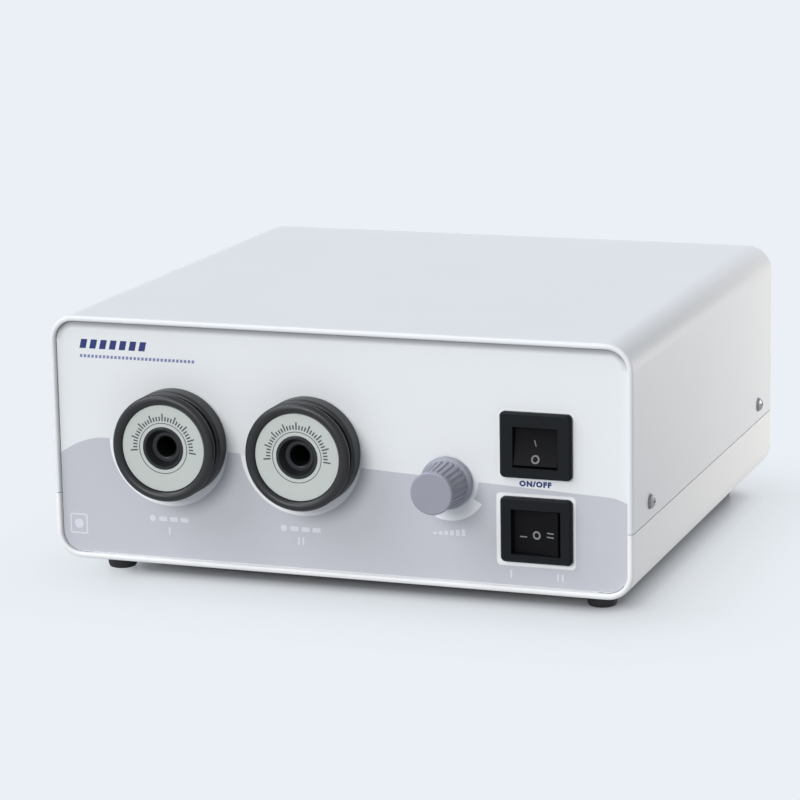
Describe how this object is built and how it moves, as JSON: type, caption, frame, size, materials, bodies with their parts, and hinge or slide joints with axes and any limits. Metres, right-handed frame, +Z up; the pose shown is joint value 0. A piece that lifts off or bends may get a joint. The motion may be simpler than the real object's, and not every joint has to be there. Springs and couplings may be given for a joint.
{
  "type": "fiber optic illuminator",
  "caption": "Benchtop fiber optic light source: low sheet-steel case on rubber feet, paired round light-guide outlets, fluted dimmer knob and stacked rocker switches on the front.",
  "frame": {"origin": "on the surface the feet stand on, at the centre of the overall footprint", "axes": "+X to the right seen from the front, +Y to the back, +Z up; the front faces -Y"},
  "size_m": [0.264, 0.266, 0.1163],
  "materials": {
    "white_enamel": "textured matt powder coat, pale grey-white",
    "printed_film": "satin polycarbonate film, pale grey-white over grey-lavender",
    "black_rubber": "matt black",
    "bezel_black": "satin black moulded rubber",
    "face_plate_satin": "satin anodised, printed",
    "black_anodised": "black anodised, turned",
    "zinc_steel": "bright zinc",
    "dark_screw": "nickel-plated, dull",
    "filter_glass": "clear heat-absorbing glass, slightly green",
    "lamp_glass": "clear quartz",
    "reflector_glass": "dichroic-coated glass",
    "ceramic": "white steatite",
    "spring_steel": "bright spring steel",
    "aluminium_plain": "mill finish",
    "knob_plastic": "satin grey-lavender",
    "switch_black": "fine-textured black",
    "rocker_black": "satin black with white marks",
    "tinned_brass": "tinned",
    "fuse_glass": "glass tube fuses with plated caps",
    "winding": "yellow polyester tape over the winding",
    "circuit_board": "green solder mask",
    "component_black": "moulded black",
    "fan_black": "moulded black",
    "chrome_wire": "bright chrome wire"
  },
  "bodies": {
    "case": {"board_components": "component_black", "board_heat_sink": "aluminium_plain", "board_standoffs": "zinc_steel", "bottom_tray": "white_enamel", "chassis_screws": "zinc_steel", "cover_screws": "dark_screw", "cover_washers": "dark_screw", "dimmer_board": "circuit_board", "fan_frame": "fan_black", "fan_guard": "chrome_wire", "fan_screws": "dark_screw", "filter_rings": "spring_steel", "front_overlay": "printed_film", "front_panel": "white_enamel", "inlet_body": "switch_black", "inlet_pins": "tinned_brass", "inlet_screws": "zinc_steel", "lamp_1_base": "ceramic", "lamp_1_capsule": "lamp_glass", "lamp_1_reflector": "reflector_glass", "lamp_1_socket": "ceramic", "lamp_2_base": "ceramic", "lamp_2_capsule": "lamp_glass", "lamp_2_reflector": "reflector_glass", "lamp_2_socket": "ceramic", "lamp_bracket": "zinc_steel", "lamp_clips": "spring_steel", "lamp_partition": "zinc_steel", "lamp_pins": "tinned_brass", "panel_nuts": "zinc_steel", "port_1_bezel": "bezel_black", "port_1_face_plate": "face_plate_satin", "port_1_filter_holder": "aluminium_plain", "port_1_heat_filter": "filter_glass", "port_1_socket": "black_anodised", "port_2_bezel": "bezel_black", "port_2_face_plate": "face_plate_satin", "port_2_filter_holder": "aluminium_plain", "port_2_heat_filter": "filter_glass", "port_2_socket": "black_anodised", "potentiometer_body": "component_black", "power_switch_housing": "switch_black", "rear_panel": "white_enamel", "rubber_feet": "black_rubber", "selector_switch_housing": "switch_black", "switch_terminals": "tinned_brass", "top_cover": "white_enamel", "transformer": "winding", "transformer_bolt": "zinc_steel", "transformer_pads": "black_rubber", "transformer_washer": "zinc_steel"},
    "knob": {"intensity_knob": "knob_plastic", "potentiometer_shaft": "zinc_steel"},
    "power_rocker": {"power_rocker": "rocker_black"},
    "selector_rocker": {"selector_rocker": "rocker_black"},
    "fuse_drawer": {"fuse_drawer": "switch_black", "fuses": "fuse_glass"},
    "fan_rotor": {"fan_rotor": "fan_black"}
  },
  "joints": [
    {"name": "knob_turn", "type": "hinge", "parent": "case", "child": "knob", "pos_m": [0.0499, -0.1215, 0.054], "axis": [0, 1, 0], "range_deg": [0, 280]},
    {"name": "power_rocker_tilt", "type": "hinge", "parent": "case", "child": "power_rocker", "pos_m": [0.0886, -0.1105, 0.0712], "axis": [1, 0, 0], "range_deg": [0, 20]},
    {"name": "selector_rocker_tilt", "type": "hinge", "parent": "case", "child": "selector_rocker", "pos_m": [0.0886, -0.1105, 0.0353], "axis": [0, 0, 1], "range_deg": [0, 20]},
    {"name": "fuse_drawer_slide", "type": "slide", "parent": "case", "child": "fuse_drawer", "axis": [0, 1, 0], "range_m": [0, 0.016]},
    {"name": "fan_spin", "type": "hinge", "parent": "case", "child": "fan_rotor", "pos_m": [-0.0416, 0.114, 0.06265], "axis": [0, 1, 0], "continuous": true}
  ]
}
